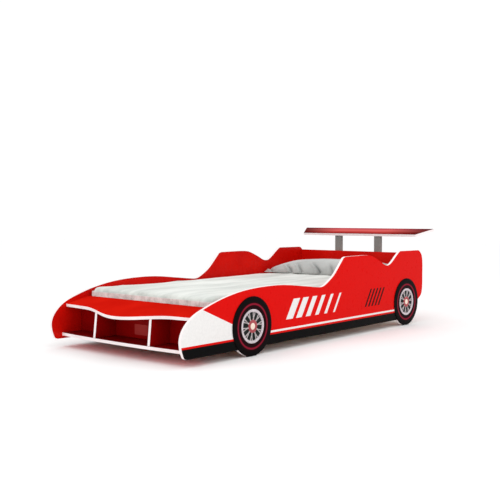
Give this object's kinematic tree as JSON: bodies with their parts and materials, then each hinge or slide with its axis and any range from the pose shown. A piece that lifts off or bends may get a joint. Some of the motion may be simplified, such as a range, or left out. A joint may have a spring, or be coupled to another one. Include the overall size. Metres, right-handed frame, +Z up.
{
  "type": "race car toddler bed",
  "caption": "Low single-seater racing-car bed for a small child: shaped side panels, open nose niches, rear spoiler wing, slatted base, lift-out mattress and pillow.",
  "frame": {"origin": "on the floor under the middle of the whole bed", "axes": "+Z up, +Y from the nose to the headboard, +X to the side seen at the right when looking from the nose to the headboard"},
  "size_m": [0.806, 1.788, 0.4696],
  "materials": {
    "red_lacquer": "glossy red lacquered board with printed racing-car artwork on the outer faces",
    "white_edging": "white plastic edge banding",
    "wheel_disc": "black tyre and silver rim artwork on a thin sheet",
    "grey_paint": "satin grey powder coat",
    "nylon": "dark nylon",
    "pine": "planed pine",
    "mattress_cover": "white woven mattress cover with a gathered front edge",
    "pillow_cloth": "light grey cotton",
    "steel": "zinc-plated steel",
    "zinc": "die-cast zinc"
  },
  "bodies": {
    "bed": {"side_panel_left": "red_lacquer", "edge_band_left": "white_edging", "wheel_disc_front_left": "wheel_disc", "floor_glide_front_left": "nylon", "wheel_disc_rear_left": "wheel_disc", "floor_glide_rear_left": "nylon", "slat_rail_left": "pine", "wing_post_left": "grey_paint", "cam_lock_lower_left": "zinc", "cam_pin_lower_left": "steel", "post_screw_lower_left": "steel", "cam_lock_upper_left": "zinc", "cam_pin_upper_left": "steel", "post_screw_upper_left": "steel", "wing_screw_front_left": "steel", "wing_screw_rear_left": "steel", "niche_divider_left": "red_lacquer", "niche_divider_left_edge_band": "white_edging", "side_panel_right": "red_lacquer", "edge_band_right": "white_edging", "wheel_disc_front_right": "wheel_disc", "floor_glide_front_right": "nylon", "wheel_disc_rear_right": "wheel_disc", "floor_glide_rear_right": "nylon", "slat_rail_right": "pine", "wing_post_right": "grey_paint", "cam_lock_lower_right": "zinc", "cam_pin_lower_right": "steel", "post_screw_lower_right": "steel", "cam_lock_upper_right": "zinc", "cam_pin_upper_right": "steel", "post_screw_upper_right": "steel", "wing_screw_front_right": "steel", "wing_screw_rear_right": "steel", "niche_divider_right": "red_lacquer", "niche_divider_right_edge_band": "white_edging", "headboard": "red_lacquer", "foot_panel": "red_lacquer", "hood_board": "red_lacquer", "hood_board_edge_band": "white_edging", "nose_floor": "red_lacquer", "nose_floor_edge_band": "white_edging", "wing_board": "red_lacquer", "wing_edge_band": "white_edging", "slat_01": "pine", "slat_02": "pine", "slat_03": "pine", "slat_04": "pine", "slat_05": "pine", "slat_06": "pine", "slat_07": "pine", "slat_08": "pine", "slat_09": "pine", "slat_10": "pine", "slat_11": "pine", "slat_12": "pine"},
    "mattress": {"mattress": "mattress_cover"},
    "pillow": {"pillow": "pillow_cloth"}
  },
  "joints": [
    {"name": "mattress_lift", "type": "slide", "parent": "bed", "child": "mattress", "axis": [0, 0, 1], "range_m": [0, 0.3]},
    {"name": "pillow_lift", "type": "slide", "parent": "mattress", "child": "pillow", "axis": [0, 0, 1], "range_m": [0, 0.25]}
  ]
}
